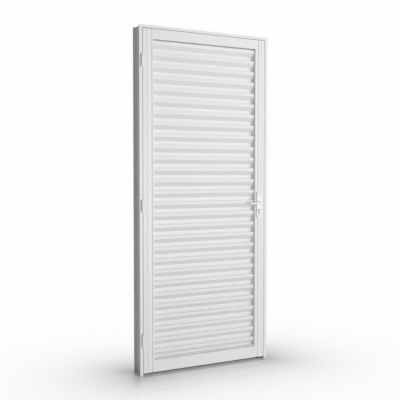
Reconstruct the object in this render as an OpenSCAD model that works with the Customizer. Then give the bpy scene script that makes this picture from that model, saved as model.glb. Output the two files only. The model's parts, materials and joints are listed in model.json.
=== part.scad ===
// Hinged louvred door set: a channel frame for three sides of a doorway, a leaf of
// stiles, rails and fixed horizontal slats, three barrel hinges and a lever lock.
// Millimetres. +X to the lock side, +Y into the room behind, +Z up.
// Origin: floor level, middle of the width and of the overall depth.

/* [Frame] */
// Overall width of the frame
frame_w = 900; // [780:10:1080]
// Overall height of the frame
frame_h = 2100; // [1800:10:2520]
// Depth of the frame through the wall
frame_d = 100; // [96:1:140]
// Width of the jamb's front face beside the leaf
jamb_face = 20; // [18:1:26]
// Height of the head's front face above the leaf
head_face = 17; // [16:1:24]
// Wall of the frame's profiles
frame_wall = 2; // [1.6:0.1:2.4]
// How far the stop stands in from the jamb's web
stop_reach = 16; // [14:1:22]
// Depth of the hollow stop
stop_depth = 24; // [18:1:26]

/* [Leaf] */
// Thickness of the leaf
leaf_t = 50; // [48:1:56]
// Width of each stile from the lever's axis in to the slats
stile_inner = 25; // [24:1:40]
// Height of the top rail
top_rail_h = 60; // [50:1:90]
// Height of the bottom rail
bottom_rail_h = 76; // [66:1:160]
// Wall of the leaf's profiles
leaf_wall = 2; // [1.6:0.1:2.2]
// Clearance round the leaf at the sides and the top
leaf_gap = 3; // [2.5:0.1:4]
// Clearance under the leaf
floor_gap = 13; // [10:1:20]
// Clearance under the brush strip along the leaf's foot
brush_gap = 3; // [1:0.5:6]

/* [Slats] */
// Number of slats
slat_count = 28; // [20:1:30]
// Wall of a slat
slat_wall = 1.5; // [1.2:0.1:2]
// Height of a slat's upright nose
nose_h = 18.5; // [15:0.5:22]
// Height of the slope under the nose
slope_h = 25.5; // [20:0.5:30]
// Distance from the leaf's face back to the noses
nose_set = 13.5; // [11:0.5:14]
// Distance from the noses back to the webs
slat_depth = 22; // [20:0.5:29]

/* [Hinges] */
// Length of one hinge
hinge_len = 74; // [60:1:100]
// Radius of the hinge barrel
barrel_r = 5.75; // [5.5:0.25:8]
// Radius of the hinge pin
pin_r = 3; // [2.5:0.1:3.2]
// Height of the middle of the lowest hinge
hinge_low = 214; // [180:1:300]
// Height of the middle of the middle hinge
hinge_mid = 1025; // [900:1:1200]
// Distance from the leaf's top down to the middle of the highest hinge
hinge_drop = 190; // [150:1:300]

/* [Lock] */
// Height of the lever's axis
lever_z = 1029; // [950:1:1100]
// Distance from the lever's axis down to the cylinder's axis
lock_pitch = 50; // [44:1:58]
// Distance from the leaf's edge to the lever's axis
backset = 43; // [40:1:60]
// Length of the lever from its axis to its tip
lever_len = 80; // [70:1:120]
// Thickness of the lever's bar
lever_bar = 12; // [10:1:14]
// Distance from the leaf's face to the front of the lever
handle_reach = 42; // [38:1:46]
// Width of the escutcheon plates
plate_w = 32; // [30:1:40]
// Height of the escutcheon plates
plate_h = 168; // [162:1:220]
// Thickness of the escutcheon plates
plate_t = 8; // [6:0.5:10]
// How far the latch stands out of the leaf's edge
latch_throw = 11; // [9:1:12]
// How far the dead bolt can be thrown
bolt_throw = 20; // [14:1:20]

/* [Hidden] */
$fn = 48;
// small distance by which a cut runs past a face
over = 1;
// running clearance on a radius
run = 0.06;

front_y = (handle_reach - frame_d) / 2;
web_x = frame_w / 2 - jamb_face;
web_z = frame_h - head_face;
leaf_x = web_x - leaf_gap;
stile_w = backset + stile_inner;
leaf_z0 = floor_gap;
leaf_z1 = web_z - leaf_gap;
leaf_h = leaf_z1 - leaf_z0;
open_x = leaf_x - stile_w;
open_z0 = leaf_z0 + bottom_rail_h;
open_z1 = leaf_z1 - top_rail_h;

// slats: the first nose hangs below the top rail, the last one stands above the bottom rail
top_drop = 8;
last_drop = 58;
slat_pitch = (open_z1 - open_z0 - top_drop - last_drop) / (slat_count - 1);
slat_end = open_x + leaf_wall + 2;
slat_lip = 4;
slat_lap = 6;
air_slot = 3.5;
web_v = nose_set + slat_depth;
lip_v = web_v - air_slot;

// seal between the leaf's back and the stop
seal_gap = 5;
stop_v = leaf_t + seal_gap;
seal_clear = 0.4;
seal_u = stop_reach / 2;

// hinges
hinge_x = web_x + 5;
barrel_v = -barrel_r - 0.75;
knuckle_gap = 0.4;
hinge_zs = [hinge_low, hinge_mid, leaf_z1 - hinge_drop];
hinge_names = ["low", "mid", "top"];
foot_t = 5;
flap_t = 2.8;
flap_w = 22;
flap_lift = 0.8;

// lock
mid_v = leaf_t / 2;
axis_x = leaf_x - backset;
cylinder_z = lever_z - lock_pitch;
face_t = 2.5;
face_w = 24;
face_z0 = cylinder_z - 56;
face_z1 = lever_z + 68;
case_t = 16;
case_wall = 1.5;
case_end = stile_w - leaf_wall - 3;
case_z0 = cylinder_z - 27;
case_z1 = lever_z + 43;
hub_r = 9;
journal_r = 8;
spindle_w = 8;
arm_r = 14;
euro_r = 8.5;
euro_w = 10;
euro_drop = 24.5;
plug_r = 6.5;
cam_gap = 10.4;
cam_r = 14.5;
plate_mid_z = (lever_z + cylinder_z) / 2 + 9;
screw_up = plate_h / 2 - 15;
lever_neck_r = 7;
strike_t = 2.5;
strike_z0 = cylinder_z - 42;
strike_z1 = lever_z + 36;
bolt_h = 24;
latch_h = 24;
bolt_t = 12;

white = [0.94, 0.94, 0.94];
steel = [0.72, 0.73, 0.75];
dark = [0.12, 0.12, 0.13];

slat_names = [for (k = [1:slat_count]) str("slat_", k < 10 ? "0" : "", k)];
frame_hinge_names = [for (n = hinge_names) str("frame_hinge_", n)];
leaf_hinge_names = [for (n = hinge_names) str("leaf_hinge_", n)];

// ---------- helpers ----------

// Sets a piece drawn with v = 0 at the leaf's face into its place along Y.
module at_front() {
    translate([0, front_y, 0]) children();
}

// Turns an outline drawn in (x, v) into an upright bar from z0 to z1.
module upright(z0, z1) {
    translate([0, 0, z0]) linear_extrude(z1 - z0) children();
}

// Turns an outline drawn in (v, z) into a level bar from x0 to x1.
module level(x0, x1) {
    translate([x0, 0, 0])
        rotate([90, 0, 90])
            linear_extrude(x1 - x0) children();
}

// A round bar along Y from v0 to v1.
module rod_y(r, v0, v1) {
    translate([0, v0, 0]) rotate([-90, 0, 0]) cylinder(r = r, h = v1 - v0);
}

// A round bar along X from x0 to x1.
module rod_x(r, x0, x1) {
    translate([x0, 0, 0]) rotate([0, 90, 0]) cylinder(r = r, h = x1 - x0);
}

// A countersunk screw along -X: its head's face is at x = 0.
module screw_x(length, r = 2, head_r = 3.8) {
    rotate([0, -90, 0]) {
        cylinder(r1 = head_r, r2 = r, h = 2);
        cylinder(r = r, h = length);
    }
}

// A pan-head screw along -X: the underside of its head is at x = 0.
module pan_screw_x(length, r = 2.1, head_r = 4) {
    rotate([0, -90, 0]) cylinder(r = r, h = length);
    rotate([0, 90, 0]) cylinder(r = head_r, h = 2.4);
}

// ---------- frame ----------

// Section of a jamb: u runs in from the outer edge, v back from the front face.
module jamb_outline(face) {
    w = frame_wall;
    lip = 6;
    difference() {
        union() {
            square([face, w]);
            square([w, lip]);
            translate([face - w, 0]) square([w, frame_d]);
            translate([0, frame_d - w]) square([face, w]);
            translate([0, frame_d - lip]) square([w, lip]);
            translate([face - w, stop_v]) square([stop_reach + w, stop_depth]);
        }
        translate([face, stop_v + w]) square([stop_reach - w, stop_depth - 2 * w]);
        translate([face + seal_u - 1.8, stop_v - over]) square([3.6, w + 2 * over]);
    }
}

// One jamb, drawn at the lock side. Its stop ends under the head's web.
module jamb() {
    difference() {
        translate([frame_w / 2, 0, 0])
            upright(0, frame_h)
                mirror([1, 0]) jamb_outline(jamb_face);
        translate([web_x - stop_reach - over, -over, web_z])
            cube([stop_reach + over, frame_d + 2 * over, head_face + over]);
    }
}

corner_vs = [14, stop_v + stop_depth / 2];
corner_u = head_face - frame_wall - 5;
fixing_end = 150;
fixing_zs = [for (k = [0:3]) fixing_end + k * (frame_h - 2 * fixing_end) / 3];
fixing_v = frame_d - 11;
fixing_r = 3.25;

// Bores in the lock-side jamb for the corner screws and the wall fixings.
module jamb_bores() {
    for (v = corner_vs)
        translate([0, v, frame_h - corner_u]) rod_x(2.2, web_x - over, web_x + frame_wall + over);
    for (z = fixing_zs)
        translate([0, fixing_v, z]) rod_x(fixing_r, web_x - over, web_x + frame_wall + over);
}

module hinge_jamb() {
    color(white) at_front() mirror([1, 0, 0]) difference() {
        jamb();
        jamb_bores();
        for (z = hinge_zs)
            for (dz = foot_screws)
                translate([hinge_x, 0, z + dz]) rod_y(2.1, -over, frame_wall + over);
    }
}

module strike_jamb() {
    color(white) at_front() difference() {
        jamb();
        jamb_bores();
        translate([0, 0, lever_z]) strike_hole(latch_h + 3);
        translate([0, 0, cylinder_z]) strike_hole(bolt_h + 3);
        for (z = strike_screw_zs)
            translate([web_x, mid_v, z]) rotate([0, 90, 0]) cylinder(r1 = 3.8, r2 = 2, h = frame_wall);
    }
}

// Hole through the jamb and the strike plate for a bolt.
module strike_hole(h) {
    translate([web_x - over, mid_v - bolt_t / 2 - 1.5, -h / 2])
        cube([frame_wall + strike_t + 2 * over, bolt_t + 3, h]);
}

strike_screw_zs = [strike_z0 + 10, strike_z1 - 9];

module strike_plate() {
    color(steel) at_front() difference() {
        translate([web_x + frame_wall, mid_v - face_w / 2, strike_z0])
            cube([strike_t, face_w, strike_z1 - strike_z0]);
        translate([0, 0, lever_z]) strike_hole(latch_h + 2);
        translate([0, 0, cylinder_z]) strike_hole(bolt_h + 2);
        for (z = strike_screw_zs)
            translate([0, mid_v, z]) rod_x(2, web_x, web_x + frame_wall + strike_t + over);
    }
}

// Two round ports along the head that take the corner screws.
module head_ports() {
    for (v = corner_vs)
        difference() {
            union() {
                translate([v, -corner_u]) circle(4.5);
                translate([v - 1, -head_face + frame_wall / 2]) square([2, head_face - corner_u - 4]);
            }
            translate([v, -corner_u]) circle(2.1);
        }
}

module head_jamb() {
    color(white) at_front() difference() {
        translate([0, 0, frame_h]) union() {
            level(-web_x, web_x)
                mirror([0, 1]) difference() {
                    swap_axes() jamb_outline(head_face);
                    translate([stop_v - over, head_face]) square([stop_depth + 2 * over, stop_reach + over]);
                }
            level(-web_x + stop_reach, web_x - stop_reach)
                mirror([0, 1]) intersection() {
                    swap_axes() jamb_outline(head_face);
                    translate([stop_v, head_face - frame_wall]) square([stop_depth, stop_reach + frame_wall]);
                }
            level(-web_x, web_x) head_ports();
        }
        for (x = [-head_fixing_x, head_fixing_x])
            translate([x, fixing_v, web_z - over]) cylinder(r = fixing_r, h = frame_wall + 2 * over);
    }
}

head_fixing_x = 250;

// Swaps the two axes of an outline.
module swap_axes() {
    mirror([1, -1]) children();
}

// Section of the seal: a bulb in front of the stop, a stem and an anchor inside it.
module seal_outline(face) {
    bulb_r = (seal_gap - seal_clear) / 2;
    translate([face + seal_u, stop_v])
        difference() {
            union() {
                translate([-5, -1.2]) square([10, 1.2]);
                translate([0, -bulb_r]) circle(bulb_r);
                translate([-1.5, -1.2]) square([3, frame_wall + 3.2]);
                translate([-4, frame_wall]) square([8, 2]);
            }
            translate([0, -bulb_r]) circle(bulb_r / 2);
        }
}

module frame_seal() {
    color(dark) at_front() {
        for (side = [0, 1])
            mirror([side, 0, 0])
                translate([frame_w / 2, 0, 0])
                    upright(0, web_z)
                        mirror([1, 0]) seal_outline(jamb_face);
        translate([0, 0, frame_h])
            level(-web_x + stop_reach, web_x - stop_reach)
                mirror([0, 1]) swap_axes() seal_outline(head_face);
    }
}

foot_screws = [-hinge_len / 2 + 9, -9];

// Screws of the frame: corners, strike plate and hinge feet.
module frame_screws() {
    color(steel) at_front() {
        for (side = [0, 1])
            mirror([side, 0, 0])
                for (v = corner_vs)
                    translate([web_x + frame_wall, v, frame_h - corner_u]) pan_screw_x(20);
        for (z = strike_screw_zs)
            translate([web_x, mid_v, z]) mirror([1, 0, 0]) screw_x(frame_wall + strike_t);
        for (z = hinge_zs)
            for (dz = foot_screws)
                translate([-hinge_x, frame_wall, z + dz])
                    rotate([0, 0, 90]) pan_screw_x(frame_wall + 2.2, 2, 2.8);
    }
}

// ---------- hinges ----------

// Lower half, fixed to the jamb: knuckle, foot and pin.
module frame_hinge(z) {
    color(white) at_front() translate([-hinge_x, 0, z]) difference() {
        union() {
            translate([0, barrel_v, -hinge_len / 2]) {
                cylinder(r = barrel_r, h = hinge_len / 2 - knuckle_gap / 2);
                cylinder(r = pin_r, h = hinge_len - 6);
            }
            translate([-barrel_r, -foot_t, -hinge_len / 2])
                cube([barrel_r + hinge_x - web_x, foot_t, hinge_len / 2 - knuckle_gap / 2]);
        }
        for (dz = foot_screws)
            translate([0, 0, dz]) rod_y(2, -2.2, over);
    }
}

flap_screws = [9, hinge_len / 2 - 9];

// Upper half, fixed to the stile: knuckle with a blind bore, and a flap on the stile's face.
module leaf_hinge(z) {
    pad_x = hinge_x - leaf_x + 0.5;
    half = hinge_len / 2 - knuckle_gap / 2;
    color(white) at_front() translate([-hinge_x, 0, z]) difference() {
        translate([0, 0, knuckle_gap / 2]) {
            translate([0, barrel_v, 0]) cylinder(r = barrel_r, h = half);
            translate([0, -flap_lift - flap_t, 0]) cube([flap_w, flap_t, half]);
            translate([pad_x, -flap_lift - flap_t, 0]) cube([flap_w - pad_x, flap_t + flap_lift, half]);
        }
        translate([0, barrel_v, -over]) cylinder(r = pin_r + run, h = hinge_len / 2 - 5 + over);
        for (dz = flap_screws)
            translate([flap_screw_x, -flap_lift - flap_t, dz]) rotate([0, 0, -90]) screw_x(8, 1.8, 3.2);
    }
}

flap_screw_x = 15.5;

// ---------- leaf ----------

groove_at = 22;
groove_w = 5;
recess_at = 45;
bead_w = 8;
recess_depth = 4;
channel_w = face_w + 0.4;

// Section of a stile: s runs in from the leaf's edge, v back from its face.
// A shallow channel down the edge takes the lock's faceplate.
module stile_outline() {
    s_bead = stile_w - bead_w;
    difference() {
        polygon([
            [0, 0],
            [groove_at, 0],
            [groove_at + groove_w / 2 - 0.5, 2],
            [groove_at + groove_w / 2 + 0.5, 2],
            [groove_at + groove_w, 0],
            [recess_at, 0],
            [recess_at + 1, recess_depth],
            [s_bead - 1, recess_depth],
            [s_bead, 0],
            [stile_w, 0],
            [stile_w, leaf_t],
            [0, leaf_t],
            [0, mid_v + channel_w / 2],
            [face_t, mid_v + channel_w / 2],
            [face_t, mid_v - channel_w / 2],
            [0, mid_v - channel_w / 2]
        ]);
        polygon([
            [leaf_wall, leaf_wall],
            [groove_at - 2, leaf_wall],
            [groove_at, leaf_wall + 2],
            [groove_at + groove_w, leaf_wall + 2],
            [recess_at - 3, leaf_wall + recess_depth],
            [stile_w - leaf_wall, leaf_wall + recess_depth],
            [stile_w - leaf_wall, leaf_t - leaf_wall],
            [leaf_wall, leaf_t - leaf_wall],
            [leaf_wall, mid_v + channel_w / 2 + leaf_wall],
            [face_t + leaf_wall, mid_v + channel_w / 2 + leaf_wall],
            [face_t + leaf_wall, mid_v - channel_w / 2 - leaf_wall],
            [leaf_wall, mid_v - channel_w / 2 - leaf_wall]
        ]);
    }
}

// One stile, drawn at the lock side, notched for the slats' ends.
module stile() {
    difference() {
        translate([leaf_x, 0, 0])
            upright(leaf_z0, leaf_z1)
                mirror([1, 0]) stile_outline();
        for (k = [0:slat_count - 1])
            translate([0, 0, slat_z(k)]) level(open_x - over, slat_end) slat_outline(web_low(k));
        for (p = rail_screw_vz)
            translate([0, p[0], p[1]]) {
                rod_x(2.2, open_x - over, open_x + leaf_wall + over);
                rod_x(5, leaf_x - face_t - leaf_wall - over, leaf_x + over);
            }
    }
}

module hinge_stile() {
    color(white) at_front() mirror([1, 0, 0]) difference() {
        stile();
        for (z = hinge_zs)
            for (dz = flap_screws)
                translate([hinge_x - flap_screw_x, 0, z + dz]) rod_y(1.8, -over, leaf_wall + over);
    }
}

module lock_stile() {
    color(white) at_front() difference() {
        stile();
        translate([leaf_x - face_t - leaf_wall - over, mid_v - case_t / 2 - 0.3, case_z0 - 0.3])
            cube([leaf_wall + 2 * over, case_t + 0.6, case_z1 - case_z0 + 0.6]);
        for (z = face_screw_zs)
            translate([0, mid_v, z]) rod_x(1.9, leaf_x - face_t - leaf_wall - over, leaf_x);
        translate([axis_x, 0, lever_z]) rod_y(10, -over, leaf_t + over);
        translate([axis_x, -over, cylinder_z]) euro_bar(leaf_t + 2 * over, 1);
        for (dz = [-screw_up, screw_up])
            translate([axis_x, 0, plate_mid_z + dz]) rod_y(3.25, -over, leaf_t + over);
    }
}

port_r = 2.1;
top_port_zs = [open_z1 + 16, leaf_z1 - 16];
bottom_port_zs = [leaf_z0 + 14, leaf_z0 + 38];
rail_screw_vz = [for (z = concat(top_port_zs, bottom_port_zs)) [mid_v, z]];

// Screw port inside a rail, drawn in (v, z), on a web from the rail's back wall.
module port(z) {
    difference() {
        union() {
            translate([mid_v, z]) circle(4.5);
            translate([mid_v + 4, z - 1]) square([leaf_t - leaf_wall - mid_v - 4 + 0.5, 2]);
        }
        translate([mid_v, z]) circle(port_r);
    }
}

// Top rail: a box with a fin down its back that stands in for the web of a slat above.
module top_rail() {
    fin_h = top_drop + slat_lap;
    color(white) at_front() level(-open_x, open_x) {
        difference() {
            translate([0, open_z1]) square([leaf_t, top_rail_h]);
            translate([leaf_wall, open_z1 + leaf_wall])
                square([leaf_t - 2 * leaf_wall, top_rail_h - 2 * leaf_wall]);
        }
        for (z = top_port_zs)
            port(z);
        translate([web_v, open_z1 - fin_h]) square([slat_wall, fin_h + leaf_wall]);
    }
}

shadow_h = 5.5;
shadow_v = 14;
sill_bead_h = 3.5;
sill_bead_v = 1.5;

// Bottom rail: a shadow groove and a low bead along its top, and a slot for the last slat's web.
module bottom_rail() {
    z_top = open_z0 + sill_bead_h + shadow_h - 2;
    z_face = open_z0 - 2;
    color(white) at_front() level(-open_x, open_x) {
        difference() {
            translate([0, leaf_z0]) square([leaf_t, z_top - leaf_z0]);
            translate([leaf_wall, leaf_z0 + leaf_wall])
                square([leaf_t - 2 * leaf_wall, z_face - 2 * leaf_wall - leaf_z0]);
            translate([-over, z_face]) square([shadow_v + over, shadow_h]);
            translate([-over, z_face]) square([sill_bead_v + over, z_top - z_face + over]);
            translate([shadow_v + leaf_wall, z_face - 2 * leaf_wall])
                square([leaf_t - shadow_v - 2 * leaf_wall, z_top - z_face + leaf_wall]);
            translate([web_v - 0.5, z_face]) square([slat_wall + 1, z_top - z_face + over]);
        }
        for (z = bottom_port_zs)
            port(z);
    }
}

// Brush strip along the leaf's foot: a flat holder and a row of bristles as one blade.
module brush_strip() {
    blade_t = 5;
    holder_t = 12;
    holder_h = 3;
    short = 1;
    color(dark) at_front() level(-leaf_x + short, leaf_x - short) {
        translate([brush_v - holder_t / 2, leaf_z0 - holder_h]) square([holder_t, holder_h]);
        translate([brush_v - blade_t / 2, brush_gap]) square([blade_t, leaf_z0 - brush_gap - holder_h / 2]);
    }
}

brush_v = 16;

// Screws of the leaf: rail ends, hinge flaps, lock faceplate and cylinder.
module leaf_screws() {
    color(steel) at_front() {
        for (side = [0, 1])
            mirror([side, 0, 0])
                for (p = rail_screw_vz)
                    translate([open_x + leaf_wall, p[0], p[1]]) pan_screw_x(22, 2.1, 4);
        for (z = hinge_zs)
            for (dz = flap_screws)
                translate([-hinge_x + flap_screw_x, -flap_lift - flap_t, z + dz])
                    rotate([0, 0, -90]) screw_x(8, 1.8, 3.2);
        for (z = face_screw_zs)
            translate([leaf_x, mid_v, z]) screw_x(9, 1.9, 3.8);
        translate([leaf_x, mid_v, cylinder_z - cylinder_screw_drop])
            screw_x(backset + 1, cylinder_screw_r, 4.5);
    }
}

face_screw_zs = [face_z0 + 10, face_z1 - 10];

// Moulded plugs in both ends of both stiles.
module stile_caps() {
    inset = leaf_wall + 0.2;
    color(white) at_front()
        for (side = [0, 1])
            mirror([side, 0, 0])
                for (z = [leaf_z0, leaf_z1 - 8])
                    translate([open_x + inset, leaf_wall + recess_depth + 0.2, z])
                        cube([stile_w - face_t - 2 * inset, leaf_t - 2 * leaf_wall - recess_depth - 0.4, 8]);
}

// ---------- slats ----------

function slat_z(k) = open_z1 - top_drop - k * slat_pitch;

// Foot of a slat's web below its nose: behind the next nose, or in the bottom rail for the last.
function web_low(k) = k < slat_count - 1 ? -slat_pitch - slat_lap : -last_drop - 14;

// Section of a slat in (v, z), with z = 0 at the top of its nose: lip, ledge, nose, slope, web.
module slat_outline(low) {
    t = slat_wall;
    polygon([
        [lip_v, slat_lip],
        [lip_v, -t],
        [nose_set + t, -t],
        [nose_set + t, -nose_h + 0.5 * t],
        [web_v + t, -nose_h - slope_h + 0.5 * t],
        [web_v + t, low],
        [web_v, low],
        [web_v, -nose_h - slope_h],
        [nose_set, -nose_h],
        [nose_set, 0],
        [lip_v - t, 0],
        [lip_v - t, slat_lip]
    ]);
}

module slat(k) {
    color(white) at_front()
        translate([0, 0, slat_z(k)]) level(-slat_end, slat_end) slat_outline(web_low(k));
}

// ---------- lock ----------

// A euro-profile bar along Y, its round part on the axis, grown by extra all round.
module euro_bar(length, extra = 0) {
    translate([0, length, 0]) rotate([90, 0, 0]) linear_extrude(length) {
        circle(euro_r + extra);
        translate([-euro_w / 2 - extra, -euro_drop + euro_w / 2])
            square([euro_w + 2 * extra, euro_drop - euro_w / 2]);
        translate([0, -euro_drop + euro_w / 2]) circle(euro_w / 2 + extra);
    }
}

module lock_case() {
    x0 = leaf_x - case_end;
    x1 = leaf_x - face_t;
    v0 = mid_v - case_t / 2;
    color(steel) at_front() difference() {
        translate([x0, v0, case_z0]) cube([x1 - x0, case_t, case_z1 - case_z0]);
        translate([x0 + case_wall, v0 + case_wall, case_z0 + case_wall])
            cube([x1 - x0 - 2 * case_wall, case_t - 2 * case_wall, case_z1 - case_z0 - 2 * case_wall]);
        translate([axis_x, 0, lever_z]) rod_y(journal_r + run, v0 - over, v0 + case_t + over);
        translate([axis_x, v0 - over, cylinder_z]) euro_bar(case_t + 2 * over, 0.3);
        bolt_ways();
        translate([0, mid_v, cylinder_z - 17]) rod_x(2.7, x1 - case_wall - over, x1 + over);
    }
}

// Openings in the case's front and the faceplate that the two bolts slide through.
module bolt_ways() {
    clear = 0.4;
    for (p = [[lever_z, latch_h], [cylinder_z, bolt_h]])
        translate([leaf_x - face_t - case_wall - over, mid_v - bolt_t / 2 - clear, p[0] - p[1] / 2 - clear])
            cube([face_t + case_wall + 2 * over, bolt_t + 2 * clear, p[1] + 2 * clear]);
}

module lock_faceplate() {
    color(steel) at_front() difference() {
        translate([leaf_x - face_t, mid_v - face_w / 2, face_z0]) cube([face_t, face_w, face_z1 - face_z0]);
        bolt_ways();
        for (z = face_screw_zs)
            translate([leaf_x, mid_v, z]) rotate([0, -90, 0]) {
                cylinder(r1 = 3.8, r2 = 1.9, h = 2);
                cylinder(r = 1.9, h = face_t + over);
            }
        translate([leaf_x, mid_v, cylinder_z - 17]) rotate([0, -90, 0]) {
            cylinder(r1 = 4.5, r2 = 2.5, h = 2);
            cylinder(r = 2.5, h = face_t + over);
        }
    }
}

// Latch: bolt, riser and a tail with a hook that the follower's arm pulls.
module latch_bolt() {
    body_x0 = axis_x + hub_r + latch_throw + 1.5;
    color(steel) at_front() translate([0, 0, lever_z]) {
        difference() {
            translate([body_x0, mid_v - bolt_t / 2, -latch_h / 2])
                cube([leaf_x + latch_throw - body_x0, bolt_t, latch_h]);
            translate([leaf_x + latch_throw, mid_v - bolt_t / 2 + 1.5, -latch_h])
                rotate([0, 0, -45])
                    translate([-2 * bolt_t, 0, 0]) cube([3 * bolt_t, 2 * bolt_t, 2 * latch_h]);
        }
        translate([body_x0, mid_v - 1.5, latch_h / 2 - over]) cube([6, 3, 8 + over]);
        translate([axis_x - 6, mid_v - 1.5, 16]) cube([body_x0 + 6 - axis_x + 6, 3, 4]);
        translate([axis_x - 6, mid_v - 1.5, 10]) cube([3, 3, 7]);
    }
}

// Dead bolt: bolt and a tail with a notch for the cylinder's cam.
module dead_bolt() {
    body_x0 = axis_x + euro_r + 1.5;
    notch_x = axis_x - bolt_throw / 2;
    color(steel) at_front() translate([0, 0, cylinder_z]) {
        translate([body_x0, mid_v - bolt_t / 2, -bolt_h / 2]) cube([leaf_x - body_x0, bolt_t, bolt_h]);
        difference() {
            union() {
                translate([notch_x - 8, mid_v - 1.5, 9.5]) cube([body_x0 + 4 - notch_x + 8, 3, 12.5]);
                translate([body_x0, mid_v - 1.5, 9.5]) cube([8, 3, 12.5]);
            }
            translate([notch_x - 6, mid_v - 3, 9]) cube([12, 6, 7.5]);
        }
    }
}

cylinder_v0 = -plate_t - 0.4;
cylinder_len = leaf_t + 2 * plate_t + 0.8;
cylinder_screw_r = 2.5;
cylinder_screw_drop = 17;

module cylinder_body() {
    color(steel) at_front() translate([axis_x, 0, cylinder_z]) difference() {
        translate([0, cylinder_v0, 0]) euro_bar(cylinder_len);
        rod_y(plug_r + run, cylinder_v0 - over, cylinder_v0 + cylinder_len + over);
        translate([-20, mid_v - cam_gap / 2, -9.4]) cube([40, cam_gap, 40]);
        translate([0, mid_v, -cylinder_screw_drop]) rod_x(cylinder_screw_r, -1, euro_w);
    }
}

// Plug with its keyway and the cam finger, at rest leaning towards the hinges.
module cylinder_plug() {
    key_w = 2.2;
    color(steel) at_front() translate([axis_x, 0, cylinder_z]) {
        difference() {
            rod_y(plug_r, cylinder_v0, cylinder_v0 + cylinder_len);
            for (v = [cylinder_v0 - over, cylinder_v0 + cylinder_len - 8])
                translate([-key_w / 2, v, -4.5]) cube([key_w, 8 + over, 8]);
        }
        rod_y(euro_r - 0.3, mid_v - 4.8, mid_v + 4.8);
        translate([0, mid_v - 2.5, 0]) rotate([0, -45, 0]) translate([-2.5, 0, 5]) cube([5, 5, cam_r - 5]);
    }
}

// Outline of an escutcheon plate with round ends.
module plate_outline(inset = 0) {
    r = plate_w / 2 - inset;
    for (dz = [-1, 1])
        translate([0, dz * (plate_h - plate_w) / 2]) circle(r);
    translate([-r, -(plate_h - plate_w) / 2]) square([2 * r, plate_h - plate_w]);
}

// A plate with its bores, drawn outwards from v = 0 along -Y.
module plate(screw_r) {
    edge = 1.2;
    difference() {
        translate([axis_x, 0, plate_mid_z]) rotate([90, 0, 0]) {
            linear_extrude(plate_t - edge) plate_outline();
            translate([0, 0, plate_t - edge]) linear_extrude(edge) plate_outline(edge);
        }
        translate([axis_x, 0, lever_z]) rod_y(lever_neck_r + run, -plate_t - over, over);
        translate([axis_x, -plate_t - over, cylinder_z]) euro_bar(plate_t + 2 * over, 0.05);
        for (dz = [-screw_up, screw_up])
            translate([axis_x, 0, plate_mid_z + dz]) rod_y(screw_r, -plate_t - over, over);
    }
}

bolt_r = 2.5;
bolt_head_r = 4;

module front_plate() {
    color(white) at_front() difference() {
        plate(bolt_r);
        for (dz = [-screw_up, screw_up])
            translate([axis_x, 0, plate_mid_z + dz]) rod_y(bolt_head_r, -plate_t - over, -plate_t + 3);
    }
}

// Mirrors a piece of the front furniture to the back of the leaf.
module to_back() {
    translate([0, leaf_t, 0]) mirror([0, 1, 0]) children();
}

module back_plate() {
    color(white) at_front() difference() {
        to_back() plate(bolt_r);
        for (dz = [-screw_up, screw_up])
            translate([axis_x, 0, plate_mid_z + dz])
                rod_y(bolt_r + 1, leaf_t + plate_t - 1.5, leaf_t + plate_t + over);
    }
}

module plate_screws() {
    color(steel) at_front()
        for (dz = [-screw_up, screw_up])
            translate([axis_x, 0, plate_mid_z + dz]) difference() {
                union() {
                    rod_y(bolt_r, -plate_t + 1, leaf_t + plate_t - 1.5);
                    rod_y(bolt_head_r, -plate_t + 0.4, -plate_t + 3);
                }
                translate([-bolt_head_r, -plate_t, -0.5]) cube([2 * bolt_head_r, 1.6, 1]);
            }
}

// ---------- handle ----------

// Follower: hub between the case's walls, journals in them, a square bore and an arm.
module follower() {
    inner = case_t / 2 - case_wall - 0.4;
    color(steel) at_front() translate([axis_x, 0, lever_z]) difference() {
        union() {
            rod_y(hub_r, mid_v - inner, mid_v + inner);
            rod_y(journal_r, mid_v - case_t / 2, mid_v + case_t / 2);
            translate([-2.5, mid_v - 2.5, 0]) cube([5, 5, arm_r]);
        }
        translate([-spindle_w / 2, 0, -spindle_w / 2]) cube([spindle_w, leaf_t, spindle_w]);
    }
}

spindle_v = plate_t + 8;

module spindle() {
    color(steel) at_front() translate([axis_x - spindle_w / 2, -spindle_v, lever_z - spindle_w / 2])
        cube([spindle_w, leaf_t + 2 * spindle_v, spindle_w]);
}

lever_droop = 2.5;

// A lever with its neck, drawn outwards from v = 0 along -Y and pointing to the hinges.
module lever() {
    bar_v = -handle_reach + lever_bar / 2;
    translate([axis_x, 0, lever_z]) difference() {
        union() {
            rod_y(lever_neck_r, -spindle_v - 2, -0.4);
            rod_y(lever_bar / 2, bar_v, -0.4);
            translate([0, bar_v, 0]) sphere(r = lever_bar / 2);
            translate([0, bar_v, 0]) rotate([0, -lever_droop, 0]) lever_arm();
            rod_y(lever_neck_r + 2, -plate_t - 4, -plate_t - 0.4);
        }
        translate([-spindle_w / 2, -spindle_v, -spindle_w / 2])
            cube([spindle_w, spindle_v + over, spindle_w]);
    }
}

// The bar of the lever along -X, with a round end.
module lever_arm() {
    r = lever_bar / 2;
    flat = 2.5;
    rotate([0, -90, 0]) linear_extrude(lever_len - r) {
        for (dy = [-flat, flat])
            translate([0, dy]) scale([1, (r - flat) / r]) circle(r);
        translate([-r, -flat]) square([2 * r, 2 * flat]);
    }
    translate([-lever_len + r, 0, 0]) rotate([90, 0, 0])
        translate([0, 0, -flat]) cylinder(r = r, h = 2 * flat);
}

module front_lever() {
    color(white) at_front() lever();
}

module back_lever() {
    color(white) at_front() to_back() lever();
}

// ---------- nodes ----------

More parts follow.
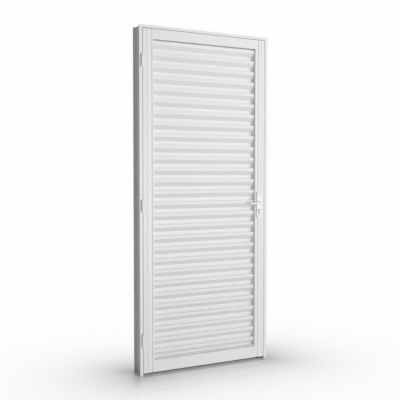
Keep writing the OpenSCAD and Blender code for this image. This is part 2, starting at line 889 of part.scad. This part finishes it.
hinge_jamb();
strike_jamb();
head_jamb();
frame_seal();
strike_plate();
frame_screws();
for (k = [0:2]) frame_hinge(hinge_zs[k]);
hinge_stile();
lock_stile();
top_rail();
bottom_rail();
brush_strip();
leaf_screws();
stile_caps();
for (k = [0:2]) leaf_hinge(hinge_zs[k]);
for (k = [0:slat_count - 1]) slat(k);
lock_case();
lock_faceplate();
cylinder_body();
front_plate();
back_plate();
plate_screws();
latch_bolt();
dead_bolt();
cylinder_plug();
follower();
spindle();
front_lever();
back_lever();
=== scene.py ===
"""Louvred door set: looks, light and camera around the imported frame."""
import json
import math

import bmesh
import bpy
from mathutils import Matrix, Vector


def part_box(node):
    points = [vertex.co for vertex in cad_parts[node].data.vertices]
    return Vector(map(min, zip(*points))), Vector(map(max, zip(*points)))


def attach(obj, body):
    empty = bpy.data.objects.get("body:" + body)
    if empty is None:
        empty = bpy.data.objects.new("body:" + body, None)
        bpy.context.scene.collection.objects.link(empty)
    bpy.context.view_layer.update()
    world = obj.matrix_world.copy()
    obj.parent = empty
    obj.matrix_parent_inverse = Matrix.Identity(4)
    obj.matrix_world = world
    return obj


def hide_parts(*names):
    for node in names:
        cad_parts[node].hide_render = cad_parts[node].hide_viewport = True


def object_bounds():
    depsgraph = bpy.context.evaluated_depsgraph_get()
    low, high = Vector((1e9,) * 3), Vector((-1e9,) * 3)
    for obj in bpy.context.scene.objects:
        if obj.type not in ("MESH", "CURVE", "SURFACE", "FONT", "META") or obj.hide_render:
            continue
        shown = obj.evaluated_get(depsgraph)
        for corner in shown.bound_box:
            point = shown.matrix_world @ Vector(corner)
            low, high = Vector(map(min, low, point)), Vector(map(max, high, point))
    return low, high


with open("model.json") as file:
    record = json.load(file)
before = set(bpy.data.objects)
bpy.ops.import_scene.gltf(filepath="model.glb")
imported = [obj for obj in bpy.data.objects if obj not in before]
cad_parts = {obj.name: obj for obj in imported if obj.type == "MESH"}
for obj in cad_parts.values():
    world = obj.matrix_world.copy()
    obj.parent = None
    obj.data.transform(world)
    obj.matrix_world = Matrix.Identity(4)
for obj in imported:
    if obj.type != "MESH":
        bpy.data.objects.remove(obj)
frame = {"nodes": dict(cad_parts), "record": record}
cad_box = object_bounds()
nodes = frame["nodes"]
scene = bpy.context.scene

# ---------------------------------------------------------------- camera

YAW = math.radians(27.61)
PITCH = math.radians(-2.265)
EYE = (-1.9932, -3.7534, 1.2200)
FOCAL_LENGTH = 60.77
cam_data = bpy.data.cameras.new("camera")
cam_data.lens = FOCAL_LENGTH
cam_data.sensor_width = 36.0
cam_data.clip_end = 60.0
camera = bpy.data.objects.new("camera", cam_data)
scene.collection.objects.link(camera)
camera.location = EYE
camera.rotation_euler = (math.pi / 2 + PITCH, 0.0, -YAW)
scene.camera = camera
scene.view_settings.view_transform = "Standard"

# ---------------------------------------------------------------- materials


def material(name):
    """A new material with a Principled shader, returned with its tree and that shader."""
    mat = bpy.data.materials.new(name)
    mat.use_nodes = True
    tree = mat.node_tree
    tree.nodes.clear()
    out = tree.nodes.new("ShaderNodeOutputMaterial")
    shader = tree.nodes.new("ShaderNodeBsdfPrincipled")
    tree.links.new(shader.outputs["BSDF"], out.inputs["Surface"])
    return mat, tree, shader


def add(tree, kind, inputs=None, **props):
    """Adds a node, sets its properties, and sets or links its inputs."""
    node = tree.nodes.new(kind)
    for key, value in props.items():
        setattr(node, key, value)
    for key, value in (inputs or {}).items():
        if isinstance(value, bpy.types.NodeSocket):
            tree.links.new(value, node.inputs[key])
        else:
            node.inputs[key].default_value = value
    return node


def noise(tree, vector, scale, detail=3.0, rough=0.5):
    return add(tree, "ShaderNodeTexNoise",
               {"Vector": vector, "Scale": scale, "Detail": detail, "Roughness": rough}).outputs["Fac"]


def ramp(tree, value, low, high, lo=0.0, hi=1.0):
    """Maps value from low..high to lo..hi."""
    limits = {"Value": value, "From Min": low, "From Max": high, "To Min": lo, "To Max": hi}
    return add(tree, "ShaderNodeMapRange", limits).outputs["Result"]


def mix(tree, factor, a, b):
    node = add(tree, "ShaderNodeMix", data_type="RGBA")
    for index, value in ((0, factor), (6, a), (7, b)):
        if isinstance(value, bpy.types.NodeSocket):
            tree.links.new(value, node.inputs[index])
        else:
            node.inputs[index].default_value = value
    return node.outputs[2]


def rgb(value, tint=(1.0, 1.0, 1.0)):
    return (value * tint[0], value * tint[1], value * tint[2], 1.0)


def coords(tree, scale=(1.0, 1.0, 1.0)):
    base = tree.nodes.new("ShaderNodeTexCoord").outputs["Object"]
    return add(tree, "ShaderNodeMapping", {"Vector": base, "Scale": scale}).outputs["Vector"]


def powder_coat(name, value, roughness=0.42, peel=0.05, along=(1, 1, 1)):
    """White powder coat: orange peel, and faint patches in tone and gloss."""
    mat, tree, shader = material(name)
    at = coords(tree)
    fine = noise(tree, at, 900.0, 2.0)
    peel_n = noise(tree, at, 260.0, 2.0)
    broad = noise(tree, coords(tree, along), 3.5, 3.0)
    height = add(tree, "ShaderNodeMath", {0: peel_n, 1: fine}, operation="ADD").outputs[0]
    bump = add(tree, "ShaderNodeBump", {"Height": height, "Strength": peel, "Distance": 0.0004})
    tree.links.new(bump.outputs["Normal"], shader.inputs["Normal"])
    tone = ramp(tree, broad, 0.3, 0.7)
    tint = mix(tree, tone, rgb(value * 0.985, (1.0, 0.998, 0.992)), rgb(value, (0.998, 1.0, 1.0)))
    tree.links.new(tint, shader.inputs["Base Color"])
    gloss = ramp(tree, broad, 0.25, 0.75, roughness - 0.04, roughness + 0.05)
    tree.links.new(gloss, shader.inputs["Roughness"])
    shader.inputs["IOR"].default_value = 1.5
    return mat


def metal(name, value, roughness, grain, tint=(1.0, 1.0, 1.0)):
    """Brushed or turned metal: grain is the scale of the brushing along each axis."""
    mat, tree, shader = material(name)
    lines = noise(tree, coords(tree, grain), 1.0, 4.0, 0.6)
    spots = noise(tree, coords(tree), 60.0, 3.0)
    colour = mix(tree, ramp(tree, lines, 0.3, 0.7), rgb(value * 0.86, tint), rgb(value, tint))
    tree.links.new(colour, shader.inputs["Base Color"])
    shader.inputs["Metallic"].default_value = 1.0
    gloss = ramp(tree, spots, 0.3, 0.7, roughness - 0.05, roughness + 0.08)
    tree.links.new(gloss, shader.inputs["Roughness"])
    bump = add(tree, "ShaderNodeBump", {"Height": lines, "Strength": 0.12, "Distance": 0.0002})
    tree.links.new(bump.outputs["Normal"], shader.inputs["Normal"])
    return mat


def moulded(name, colour, roughness, scale, strength):
    """Rubber or moulded plastic with a fine grain."""
    mat, tree, shader = material(name)
    grain = noise(tree, coords(tree), scale, 3.0)
    patches = noise(tree, coords(tree), 25.0, 3.0)
    dark = tuple(c * 0.8 for c in colour[:3]) + (1.0,)
    tree.links.new(mix(tree, ramp(tree, patches, 0.3, 0.7), dark, colour), shader.inputs["Base Color"])
    gloss = ramp(tree, patches, 0.3, 0.7, roughness - 0.06, roughness + 0.06)
    tree.links.new(gloss, shader.inputs["Roughness"])
    bump = add(tree, "ShaderNodeBump", {"Height": grain, "Strength": strength, "Distance": 0.0003})
    tree.links.new(bump.outputs["Normal"], shader.inputs["Normal"])
    return mat


WHITE = 0.84
MATS = {
    "frame_coat": powder_coat("frame_coat", WHITE, 0.42, 0.05, (1, 1, 0.15)),
    "leaf_coat": powder_coat("leaf_coat", WHITE, 0.42, 0.05, (1, 1, 0.15)),
    "slat_coat": powder_coat("slat_coat", WHITE, 0.42, 0.05, (0.15, 1, 1)),
    "hinge_coat": powder_coat("hinge_coat", WHITE * 0.98, 0.38, 0.06),
    # The handle coat is a tenth brighter than the other whites as a painted highlight, for the plate and
    # lever catching more light.
    "handle_coat": powder_coat("handle_coat", WHITE * 1.10, 0.24, 0.02),
    "seal_rubber": moulded("seal_rubber", (0.035, 0.035, 0.037, 1.0), 0.72, 700.0, 0.3),
    # The brush seal's near-black colour is also painted shade: it darkens the gap under the leaf.
    "brush_nylon": moulded("brush_nylon", (0.045, 0.045, 0.048, 1.0), 0.8, 1200.0, 0.6),
    "cap_plastic": moulded("cap_plastic", (0.72, 0.72, 0.70, 1.0), 0.5, 900.0, 0.2),
    "lock_steel": metal("lock_steel", 0.58, 0.32, (40, 900, 900)),
    "zinc_steel": metal("zinc_steel", 0.42, 0.36, (300, 300, 300), (0.98, 0.99, 1.0)),
    "cylinder_nickel": metal("cylinder_nickel", 0.30, 0.30, (900, 60, 900), (1.0, 0.985, 0.95)),
}
slots = {s["node"]: s["material_slot"] for s in frame["record"]["subparts"]}
for name, obj in nodes.items():
    obj.data.materials.clear()
    obj.data.materials.append(MATS[slots[name]])


def soften(obj, width, segments=2, angle=30.0):
    """Rounds the arrises of a piece, as extrusion and powder coat do."""
    bevel = obj.modifiers.new("arris", "BEVEL")
    bevel.width = width
    bevel.segments = segments
    bevel.limit_method = "ANGLE"
    bevel.angle_limit = math.radians(angle)
    bevel.harden_normals = True


LOCK_EDGES = ("lock_faceplate", "strike_plate", "cylinder_body", "cylinder_plug", "latch_bolt", "dead_bolt")
for name, obj in nodes.items():
    if name.startswith("slat_"):
        soften(obj, 0.0007, 3)
    elif slots[name] in ("frame_coat", "leaf_coat"):
        soften(obj, 0.0005)
    elif name in LOCK_EDGES:
        soften(obj, 0.0003)

# ---------------------------------------------------------------- mesh helpers (millimetres in, metres out)

MM = 0.001
TIP = 0.01  # radius of a turned end's first ring, so that its points stay apart
UP = (0, 0, 1)


def piece(name, bm, body, slot, stands_for=(), smooth=True):
    """Makes an object of a bmesh drawn in millimetres and puts it on a body."""
    bmesh.ops.remove_doubles(bm, verts=bm.verts, dist=0.002)
    bmesh.ops.recalc_face_normals(bm, faces=bm.faces)
    bmesh.ops.scale(bm, vec=(MM, MM, MM), verts=bm.verts)
    mesh = bpy.data.meshes.new(name)
    bm.to_mesh(mesh)
    bm.free()
    obj = bpy.data.objects.new(name, mesh)
    scene.collection.objects.link(obj)
    mesh.materials.append(MATS[slot])
    if smooth:
        mesh.shade_smooth()
    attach(obj, body)
    if stands_for:
        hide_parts(*stands_for)
    return obj


def join(target, source):
    """Adds the faces of one bmesh to another and frees it."""
    made = {v: target.verts.new(v.co) for v in source.verts}
    for face in source.faces:
        target.faces.new([made[v] for v in face.verts])
    source.free()


def skin(rings):
    """Faces between rings of points, with the ends capped."""
    bm = bmesh.new()
    loops = [[bm.verts.new(p) for p in ring] for ring in rings]
    count = len(loops[0])
    for low, high in zip(loops, loops[1:]):
        for i in range(count):
            j = (i + 1) % count
            bm.faces.new((low[i], low[j], high[j], high[i]))
    bm.faces.new(loops[0])
    bm.faces.new(loops[-1])
    return bm


def lathe(profile, axis, centre, steps=40):
    """Turns a profile of (radius, distance along the axis) about a line through centre."""
    along = Vector(axis).normalized()
    side = along.orthogonal().normalized()
    other = along.cross(side)
    middle = Vector(centre)
    rings = []
    for radius, distance in profile:
        radius = max(radius, TIP)
        ring = []
        for k in range(steps):
            turn = 2 * math.pi * k / steps
            spoke = side * math.cos(turn) + other * math.sin(turn)
            ring.append(middle + along * distance + spoke * radius)
        rings.append(ring)
    return skin(rings)


def fillet_profile(radius, low, high, r_low, r_high, steps=5):
    """Profile of a round bar with filleted ends, from the axis out and back."""
    points = [(TIP, low)]
    for k in range(steps + 1):
        turn = math.pi / 2 * k / steps
        points.append((radius - r_low + r_low * math.sin(turn),
                       low + r_low - r_low * math.cos(turn)))
    for k in range(steps + 1):
        turn = math.pi / 2 * k / steps
        points.append((radius - r_high + r_high * math.cos(turn),
                       high - r_high + r_high * math.sin(turn)))
    points.append((TIP, high))
    return points


def rounded_box(low, high, radius, segments=3):
    """A block with all its edges rounded."""
    bm = bmesh.new()
    bmesh.ops.create_cube(bm, size=1.0)
    low, high = Vector(low), Vector(high)
    for vert in bm.verts:
        for k in range(3):
            vert.co[k] = low[k] if vert.co[k] < 0 else high[k]
    bmesh.ops.bevel(bm, geom=bm.edges[:], offset=radius, segments=segments, profile=0.5, affect="EDGES")
    return bm


def circle(radius, centre=(0.0, 0.0), steps=32, start=0.0, sweep=2 * math.pi):
    full = abs(sweep - 2 * math.pi) < 1e-6
    count = steps if full else steps + 1
    return [(centre[0] + radius * math.cos(start + sweep * k / steps),
             centre[1] + radius * math.sin(start + sweep * k / steps)) for k in range(count)]


def plate_with_holes(outline, holes, front, back):
    """A flat plate in (x, z) between two values of y, with holes through it."""
    bm = bmesh.new()
    edges = []
    for loop in [outline] + holes:
        verts = [bm.verts.new((x, front, z)) for x, z in loop]
        edges += [bm.edges.new((verts[i], verts[(i + 1) % len(verts)])) for i in range(len(verts))]
    bmesh.ops.triangle_fill(bm, use_beauty=True, use_dissolve=False, edges=edges)
    bmesh.ops.dissolve_limit(bm, angle_limit=0.01, verts=bm.verts, edges=bm.edges)
    made = bmesh.ops.extrude_face_region(bm, geom=bm.faces[:])
    for item in made["geom"]:
        if isinstance(item, bmesh.types.BMVert):
            item.co.y = back
    return bm


def cross_head(radius, dome, centre, axis):
    """A screw head: a low dome with a cross recess pressed into it."""
    bm = bmesh.new()
    rings = 9
    steps = 48
    arm_half, arm_reach = 0.16 * radius, 0.62 * radius
    along = Vector(axis).normalized()
    side = Vector(UP) if abs(along.z) < 0.5 else Vector((1, 0, 0))
    other = along.cross(side)
    grid = []
    for i in range(rings + 1):
        share = i / rings
        ring = []
        for k in range(steps):
            turn = 2 * math.pi * k / steps
            x, y = radius * share * math.cos(turn), radius * share * math.sin(turn)
            rise = dome * math.sqrt(max(0.0, 1 - share ** 2.6))
            arm, far = min(abs(x), abs(y)), max(abs(x), abs(y))
            if arm < arm_half and far < arm_reach:
                rise -= 0.55 * dome + 0.25 * radius * (1 - far / arm_reach)
            ring.append(Vector(centre) + side * x + other * y + along * rise)
        grid.append(ring)
    grid.append([p - along * (0.4 * radius) for p in grid[-1]])
    rows = [[bm.verts.new(p) for p in ring] for ring in grid[1:]]
    hub = bm.verts.new(sum(grid[0], Vector()) / steps)
    for k in range(steps):
        bm.faces.new((hub, rows[0][k], rows[0][(k + 1) % steps]))
        for low, high in zip(rows, rows[1:]):
            bm.faces.new((low[k], high[k], high[(k + 1) % steps], low[(k + 1) % steps]))
    bm.faces.new(rows[-1])
    return bm


def mm(node):
    """A CAD node's box, in millimetres."""
    low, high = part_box(node)
    return low / MM, high / MM


# ---------------------------------------------------------------- hinges


BARREL_R = 5.75
PIN_HEAD_R = 4.1
WASHER_R = 5.2
HINGE_GAP = 0.45  # from the frame half's barrel up to the leaf half
FLAP_SCREWS = (9.0 - 0.2, 28.0 - 0.2)  # above the foot of the leaf half


def hinges():
    """Three barrel hinges: a frame half with its pin, a leaf half, and the leaf half's screws."""
    for which in ("low", "mid", "top"):
        lo, _ = mm("frame_hinge_" + which)
        leaf_lo, leaf_hi = mm("leaf_hinge_" + which)
        axis_x, axis_y = leaf_lo.x + BARREL_R, leaf_lo.y + BARREL_R
        axis = (axis_x, axis_y, 0)
        split = leaf_lo.z
        foot_top = split - HINGE_GAP
        face = lo.y + 12.25
        lower = lathe(fillet_profile(BARREL_R, lo.z, foot_top, 1.1, 0.35), UP, axis)
        join(lower, lathe(fillet_profile(PIN_HEAD_R, lo.z - 1.4, lo.z + 0.6, 1.2, 0.2), UP, axis, 32))
        join(lower, lathe(fillet_profile(WASHER_R, split - 0.5, split - 0.02, 0.15, 0.15), UP, axis, 32))
        join(lower, rounded_box((axis_x - BARREL_R, face - 5.0, lo.z), (axis_x + 5.0, face, foot_top), 0.8))
        piece("hinge_lower_" + which, lower, "frame", "hinge_coat", ["frame_hinge_" + which])
        upper = lathe(fillet_profile(BARREL_R, split, leaf_hi.z, 0.35, 1.1), UP, axis)
        pin_top = fillet_profile(PIN_HEAD_R, leaf_hi.z - 0.6, leaf_hi.z + 1.4, 0.2, 1.2)
        join(upper, lathe(pin_top, UP, axis, 32))
        join(upper, rounded_box((axis_x - 0.5, leaf_hi.y - 3.6, split),
                                (leaf_hi.x, leaf_hi.y - 0.8, leaf_hi.z), 0.7))
        join(upper, rounded_box((axis_x + 8.5, leaf_hi.y - 2.0, split),
                                (leaf_hi.x, leaf_hi.y, leaf_hi.z), 0.35))
        piece("hinge_upper_" + which, upper, "leaf", "hinge_coat", ["leaf_hinge_" + which])
        heads = bmesh.new()
        for rise in FLAP_SCREWS:
            join(heads, cross_head(3.3, 0.5, (axis_x + 15.5, leaf_hi.y - 3.55, split + rise), (0, -1, 0)))
        piece("hinge_screws_" + which, heads, "leaf", "hinge_coat")


hinges()

# ---------------------------------------------------------------- lock furniture

AXIS_X, LEVER_Z, CYL_Z, MID_Y = 384.0, 1029.0, 979.0, -4.0
LEAF_HALF = 25.0
PLATE_T = 8.0
PLATE_MID_Z, PLATE_HALF_W, PLATE_REACH = 1013.0, 16.0, 68.0
PLATE_SCREW_ZS = (PLATE_MID_Z + 69.0, PLATE_MID_Z - 69.0)
SCREW_HEAD_R = 4.0


def euro_outline(grow):
    """Outline of the cylinder about its axis, anticlockwise from the right of its neck."""
    round_r, small = 8.5 + grow, 5.0 + grow
    neck = -math.acos(small / round_r)
    top = circle(round_r, steps=40, start=neck, sweep=math.pi - 2 * neck)
    foot = circle(small, (0.0, -19.5), steps=20, start=math.pi, sweep=math.pi)
    return top + foot


def furniture(side):
    """Plate and lever of one face, and on the front the plate's screws: side is 1 at the front and -1 at
    the back.
    """
    face = MID_Y - side * LEAF_HALF
    out = -side

    def y(distance):
        return face + out * distance

    where = "front" if side > 0 else "back"
    outline = []
    for reach, start in ((PLATE_REACH, 0), (-PLATE_REACH, math.pi)):
        outline += [(AXIS_X + x, PLATE_MID_Z + reach + z)
                    for x, z in circle(PLATE_HALF_W, steps=28, start=start, sweep=math.pi)]
    holes = [[(AXIS_X + x, LEVER_Z + z) for x, z in circle(7.2, steps=36)],
             [(AXIS_X + x, CYL_Z + z) for x, z in euro_outline(0.15)]]
    if side > 0:
        for z in PLATE_SCREW_ZS:
            holes.append([(AXIS_X + a, z + b) for a, b in circle(SCREW_HEAD_R + 0.15, steps=32)])
    shell = plate_with_holes(outline, holes, y(PLATE_T), y(0.0))
    plate = piece(where + "_escutcheon", shell, "leaf", "handle_coat", [where + "_plate"], smooth=False)
    soften(plate, 0.0008, 4, 50.0)
    plate.modifiers["arris"].use_clamp_overlap = True
    if side > 0:
        shank = [(TIP, 0), (2.5, 0), (2.5, 60), (TIP, 60)]
        heads = bmesh.new()
        for z in PLATE_SCREW_ZS:
            join(heads, cross_head(SCREW_HEAD_R, 0.9, (AXIS_X, y(PLATE_T - 1.4), z), (0, out, 0)))
            join(heads, lathe(shank, (0, -out, 0), (AXIS_X, y(PLATE_T - 3), z), 16))
        piece("plate_bolts", heads, "leaf", "zinc_steel", ["plate_screws"])
    lever(where, y)


def section(half_a, half_b, power, steps=28):
    """Superellipse, from round (power 2) to a soft square (power 4)."""
    points = []
    for k in range(steps):
        turn = 2 * math.pi * k / steps
        c, s = math.cos(turn), math.sin(turn)
        points.append((half_a * math.copysign(abs(c) ** (2 / power), c),
                       half_b * math.copysign(abs(s) ** (2 / power), s)))
    return points


NECK_R, BAR_TALL, BAR_DEEP = 7.0, 6.0, 5.6
COLLAR_R, COLLAR_FOOT, COLLAR_FILLET = 9.0, 8.4, 1.4


def lever(where, y):
    """Neck, bend and bar in one sweep, with a collar at the plate."""
    bar, bend, length, droop = 36.0, 10.0, 80.0, math.radians(2.5)
    tip = 4.0
    path = [(0.0, COLLAR_FOOT + (bar - bend - COLLAR_FOOT) * k / 6) for k in range(7)]
    for k in range(1, 9):
        turn = math.pi / 2 * k / 8
        path.append((bend * (1 - math.cos(turn)), bar - bend + bend * math.sin(turn)))
    end = length - tip
    path += [(bend + (end - bend) * k / 14, bar) for k in range(1, 15)]
    rings = []
    for i, (run, rise) in enumerate(path):
        before, after = path[max(i - 1, 0)], path[min(i + 1, len(path) - 1)]
        d = Vector((after[0] - before[0], after[1] - before[1])).normalized()
        share = min(max((run + rise - 20.0) / 30.0, 0.0), 1.0)
        ease = share * share * (3 - 2 * share)
        tall = NECK_R + (BAR_TALL - NECK_R) * ease
        deep = NECK_R + (BAR_DEEP - NECK_R) * ease
        ring = []
        for a, b in section(tall, deep, 2.0 + 1.1 * ease):
            along, out = run - d.y * b, rise + d.x * b
            ring.append(Vector((AXIS_X - along, y(out), LEVER_Z + a - math.tan(droop) * along)))
        rings.append(ring)
    last = rings[-1]
    centre = sum(last, Vector()) / len(last)
    for k in range(1, 7):
        turn = math.pi / 2 * k / 6
        shrink = 0.55 + 0.45 * math.cos(turn) if k < 6 else 0.5
        ahead = Vector((-tip * math.sin(turn), 0, 0))
        rings.append([centre + (p - centre) * shrink + ahead for p in last])
    body = skin(rings)
    bore = NECK_R + 0.05
    collar = [(bore, COLLAR_FOOT), (COLLAR_R, COLLAR_FOOT)]
    for k in range(6):
        turn = math.pi / 2 * k / 5
        collar.append((COLLAR_R - COLLAR_FILLET + COLLAR_FILLET * math.cos(turn),
                       COLLAR_FOOT + 2.5 + COLLAR_FILLET * math.sin(turn)))
    collar.append((bore, COLLAR_FOOT + 3.9))
    out = Vector((0, y(1.0) - y(0.0), 0))
    join(body, lathe(collar, out, (AXIS_X, y(0.0), LEVER_Z), 40))
    piece(where + "_handle", body, "handle", "handle_coat", [where + "_lever"])


furniture(1)
furniture(-1)

# ---------------------------------------------------------------- floor, light, background


# Distance over which the painted shade around the door fades out into the white background.
SHADE_FALLOFF_LENGTH = 0.25
FLOOR_HALF = 9.0


def door_distance(tree, at):
    """Distance on the floor from the frame's footprint."""
    size = (cad_box[1] - cad_box[0]) / 2
    span = add(tree, "ShaderNodeVectorMath", {0: at}, operation="ABSOLUTE").outputs["Vector"]
    beyond = add(tree, "ShaderNodeVectorMath", {0: span, 1: (size.x, size.y, 10.0)},
                 operation="SUBTRACT").outputs["Vector"]
    kept = add(tree, "ShaderNodeVectorMath", {0: beyond, 1: (0.0, 0.0, 0.0)},
               operation="MAXIMUM").outputs["Vector"]
    return add(tree, "ShaderNodeVectorMath", {0: kept}, operation="LENGTH").outputs["Value"]


def stage_floor():
    """A pale gloss floor that fades into the background away from the door; the fade is painted shade,
    keeping the floor grey close to the door and white further out.
    """
    bm = bmesh.new()
    bmesh.ops.create_grid(bm, x_segments=24, y_segments=24, size=FLOOR_HALF)
    mesh = bpy.data.meshes.new("floor")
    bm.to_mesh(mesh)
    bm.free()
    obj = bpy.data.objects.new("floor", mesh)
    scene.collection.objects.link(obj)
    mat, tree, shader = material("floor")
    at = coords(tree)
    cloud = noise(tree, at, 1.2, 3.0)
    tree.links.new(mix(tree, cloud, rgb(0.90), rgb(0.92)), shader.inputs["Base Color"])
    tree.links.new(ramp(tree, cloud, 0.3, 0.7, 0.09, 0.13), shader.inputs["Roughness"])
    # Painted shade: the floor's alpha falls off with distance from the door, so it reads darker around the
    # door and white away from it.
    scaled = add(tree, "ShaderNodeMath", {0: door_distance(tree, at), 1: -SHADE_FALLOFF_LENGTH},
                 operation="DIVIDE")
    shade_alpha = add(tree, "ShaderNodeMath", {0: scaled.outputs[0]}, operation="EXPONENT").outputs[0]
    tree.links.new(shade_alpha, shader.inputs["Alpha"])
    mesh.materials.append(mat)


def area_light(name, place, target, size, power):
    data = bpy.data.lights.new(name, "AREA")
    data.shape = "RECTANGLE"
    data.size, data.size_y = size
    data.energy = power
    obj = bpy.data.objects.new(name, data)
    scene.collection.objects.link(obj)
    obj.location = place
    obj.rotation_euler = (Vector(target) - Vector(place)).to_track_quat("-Z", "Y").to_euler()


def backdrop_world(seen, level, above):
    """White behind the object and in reflections; its light fades from the horizon to the ceiling."""
    world = bpy.data.worlds.new("studio")
    scene.world = world
    world.use_nodes = True
    tree = world.node_tree
    tree.nodes.clear()
    out = tree.nodes.new("ShaderNodeOutputWorld")
    path = tree.nodes.new("ShaderNodeLightPath")
    ray = tree.nodes.new("ShaderNodeTexCoord").outputs["Generated"]
    height = add(tree, "ShaderNodeSeparateXYZ", {0: ray}).outputs["Z"]
    light = ramp(tree, height, 0.05, 0.7, level, above)
    mirrored = ramp(tree, height, 0.05, 0.7, seen, above)
    indoors = ramp(tree, path.outputs["Is Glossy Ray"], 0.0, 1.0, light, mirrored)
    strength = ramp(tree, path.outputs["Is Camera Ray"], 0.0, 1.0, indoors, seen)
    back = add(tree, "ShaderNodeBackground", {"Color": (1.0, 1.0, 1.0, 1.0), "Strength": strength})
    tree.links.new(back.outputs[0], out.inputs["Surface"])


stage_floor()
backdrop_world(0.985, 0.385, 0.08)
area_light("key", (2.2, -4.2, 2.4), (0.0, 0.0, 1.25), (3.0, 2.4), 80.0)
area_light("low_fill", (0.6, -4.5, 0.7), (0.0, 0.0, 0.8), (3.0, 1.2), 68.0)
area_light("back", (0.5, 3.6, 3.4), (0.0, 0.0, 0.2), (4.0, 3.0), 60.0)
